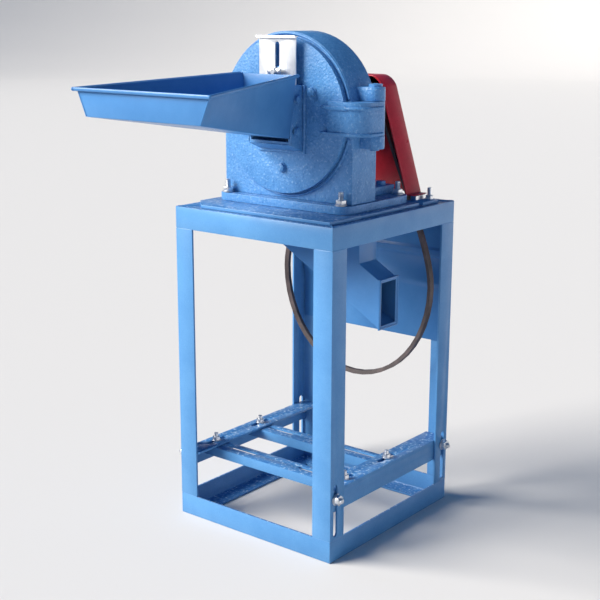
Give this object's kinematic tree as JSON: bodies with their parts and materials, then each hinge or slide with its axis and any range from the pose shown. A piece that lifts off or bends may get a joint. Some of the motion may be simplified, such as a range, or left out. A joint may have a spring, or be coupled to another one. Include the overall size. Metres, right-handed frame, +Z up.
{
  "type": "hammer mill",
  "caption": "Small claw-type grain hammer mill on an angle-iron stand: hinged round feed door with hopper and slide gate, belt guard, outlet chute, adjustable motor frame.",
  "frame": {"origin": "on the floor, under the middle of the whole outline with the hopper included", "axes": "+Z up, +Y to the rear (pulley side), +X to the right as seen from the hopper side; the shaft lies along Y"},
  "size_m": [0.392, 0.641, 0.913],
  "materials": {
    "blue_paint": "semi-gloss enamel, slightly grainy on the castings",
    "red_paint": "semi-gloss enamel on sheet steel",
    "zinc": "bright zinc plating",
    "dark_steel": "bare machined steel",
    "bearing_steel": "ground bearing steel",
    "cast_pulley": "turned grey cast iron",
    "rubber": "matt fabric-covered belt rubber"
  },
  "bodies": {
    "stand": {"leg_front_left": "blue_paint", "leg_front_right": "blue_paint", "leg_rear_left": "blue_paint", "leg_rear_right": "blue_paint", "top_rail_front": "blue_paint", "top_rail_rear": "blue_paint", "top_rail_left": "blue_paint", "top_rail_right": "blue_paint", "floor_rail_front": "blue_paint", "floor_rail_rear": "blue_paint", "floor_rail_left": "blue_paint", "floor_rail_right": "blue_paint", "seat_plate_front": "blue_paint", "seat_plate_rear": "blue_paint", "rear_panel": "blue_paint", "outlet_collar": "blue_paint", "outlet_chute": "blue_paint", "belt_guard": "red_paint", "guard_bracket": "blue_paint", "base_plate": "blue_paint", "casing": "blue_paint", "sieve_ring": "dark_steel", "bearing_housing": "blue_paint", "bearing_cap_front": "blue_paint", "bearing_cap_rear": "blue_paint", "bearing_outer_front": "bearing_steel", "bearing_outer_rear": "bearing_steel", "bed_bolt_1": "zinc", "bed_bolt_2": "zinc", "bed_bolt_3": "zinc", "bed_bolt_4": "zinc", "hinge_pin": "dark_steel", "v_belt": "rubber"},
    "rotor": {"shaft": "dark_steel", "rotor_disc": "dark_steel", "hammer_ring": "dark_steel", "rotor_nut": "zinc", "pulley": "cast_pulley", "pulley_key": "dark_steel", "pulley_nut": "zinc", "bearing_inner_front": "bearing_steel", "bearing_inner_rear": "bearing_steel"},
    "ball_cages": {"ball_cage_front": "bearing_steel", "ball_cage_rear": "bearing_steel"},
    "door": {"door": "blue_paint", "inlet_neck": "blue_paint", "hopper": "blue_paint", "fixed_disc": "dark_steel"},
    "gate": {"slide_gate": "zinc"},
    "gate_screw": {"gate_screw": "zinc"},
    "latch": {"latch_bolt": "zinc"},
    "latch_nut": {"latch_nut": "dark_steel"},
    "motor_frame": {"motor_rail_left": "blue_paint", "motor_rail_right": "blue_paint", "motor_rail_bolt_1": "zinc", "motor_rail_bolt_2": "zinc", "motor_rail_bolt_3": "zinc", "motor_rail_bolt_4": "zinc"},
    "front_cross_rail": {"cross_rail_front": "blue_paint"},
    "rear_cross_rail": {"cross_rail_rear": "blue_paint"}
  },
  "joints": [
    {"name": "rotor_spin", "type": "hinge", "parent": "stand", "child": "rotor", "pos_m": [0, 0.1305, 0.768], "axis": [0, 1, 0], "continuous": true},
    {"name": "ball_cage_spin", "type": "hinge", "parent": "stand", "child": "ball_cages", "pos_m": [0, 0.1305, 0.768], "axis": [0, 1, 0], "continuous": true},
    {"name": "door_swing", "type": "hinge", "parent": "stand", "child": "door", "pos_m": [0.164, 0.0785, 0.769], "axis": [0, 0, 1], "range_deg": [0, 115]},
    {"name": "gate_slide", "type": "slide", "parent": "door", "child": "gate", "axis": [0, 0, 1], "range_m": [-0.046, 0]},
    {"name": "gate_screw_turn", "type": "hinge", "parent": "door", "child": "gate_screw", "pos_m": [0, 0.0148, 0.845], "axis": [0, -1, 0], "range_deg": [0, 360]},
    {"name": "latch_swing", "type": "hinge", "parent": "stand", "child": "latch", "pos_m": [-0.158, 0.0855, 0.769], "axis": [0, 0, 1], "range_deg": [0, 170]},
    {"name": "latch_nut_turn", "type": "hinge", "parent": "latch", "child": "latch_nut", "pos_m": [-0.16929, 0.14951, 0.769], "axis": [-0.1736, 0.9848, 0], "range_deg": [0, 360]},
    {"name": "motor_frame_lift", "type": "slide", "parent": "stand", "child": "motor_frame", "axis": [0, 0, 1], "range_m": [-0.065, 0.021]},
    {"name": "front_rail_slide", "type": "slide", "parent": "motor_frame", "child": "front_cross_rail", "axis": [0, 1, 0], "range_m": [-0.022, 0.022]},
    {"name": "rear_rail_slide", "type": "slide", "parent": "motor_frame", "child": "rear_cross_rail", "axis": [0, 1, 0], "range_m": [-0.022, 0.022]}
  ],
  "couplings": [
    {"joint": "ball_cage_spin", "follows": "rotor_spin", "ratio": 0.42}
  ]
}
